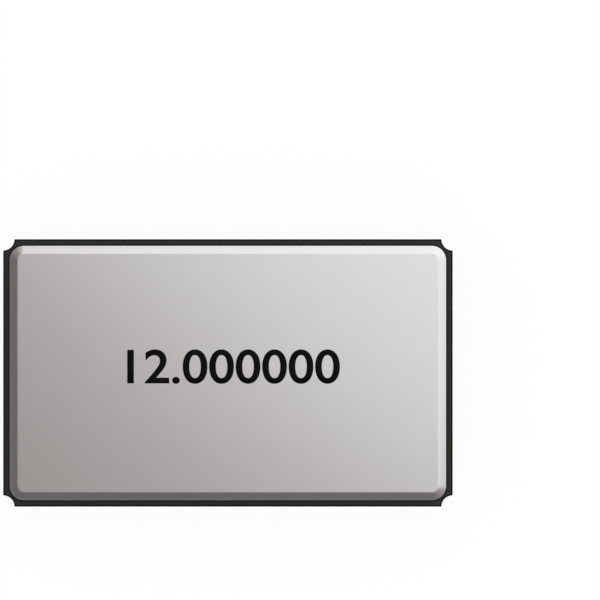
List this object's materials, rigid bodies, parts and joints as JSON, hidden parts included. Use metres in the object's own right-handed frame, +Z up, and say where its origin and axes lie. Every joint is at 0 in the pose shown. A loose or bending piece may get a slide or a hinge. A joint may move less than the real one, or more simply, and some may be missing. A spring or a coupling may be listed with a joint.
{
  "type": "crystal oscillator",
  "caption": "Surface-mount quartz crystal in a black ceramic tray with a bevelled nickel lid and gold solder pads underneath; a chamfered pad corner marks the first terminal.",
  "frame": {"origin": "centre of the package on the solder plane, the underside of the terminal pads", "axes": "+X along the length away from terminal 1, +Y across the width, +Z up out of the lid"},
  "size_m": [0.006, 0.0036, 0.0011],
  "materials": {
    "black_ceramic": "matt black co-fired alumina with a fine grain",
    "gold_plating": "soft gold plating over nickel and tungsten print",
    "gold_flash": "thin gold flash over nickel on an iron-nickel-cobalt ring",
    "nickel_lid": "satin nickel plating on an iron-nickel-cobalt lid",
    "braze_silver": "silver-copper braze",
    "tungsten_fill": "sintered tungsten",
    "quartz": "lapped clear quartz",
    "electrode_film": "evaporated gold film",
    "silver_adhesive": "cured silver-filled adhesive"
  },
  "bodies": {
    "root": {"ceramic_base": "black_ceramic", "terminal_1": "gold_plating", "terminal_2": "gold_plating", "terminal_3": "gold_plating", "terminal_4": "gold_plating", "signal_via_1": "tungsten_fill", "signal_via_2": "tungsten_fill", "signal_via_3": "tungsten_fill", "floor_trace": "gold_plating", "ground_via_2": "tungsten_fill", "ground_via_4": "tungsten_fill", "bond_pad_1": "gold_plating", "bond_pad_2": "gold_plating", "adhesive_dot_1": "silver_adhesive", "adhesive_dot_2": "silver_adhesive", "quartz_blank": "quartz", "upper_electrode": "electrode_film", "lower_electrode": "electrode_film", "ring_braze": "braze_silver", "seal_ring": "gold_flash", "lid": "nickel_lid"}
  },
  "joints": []
}
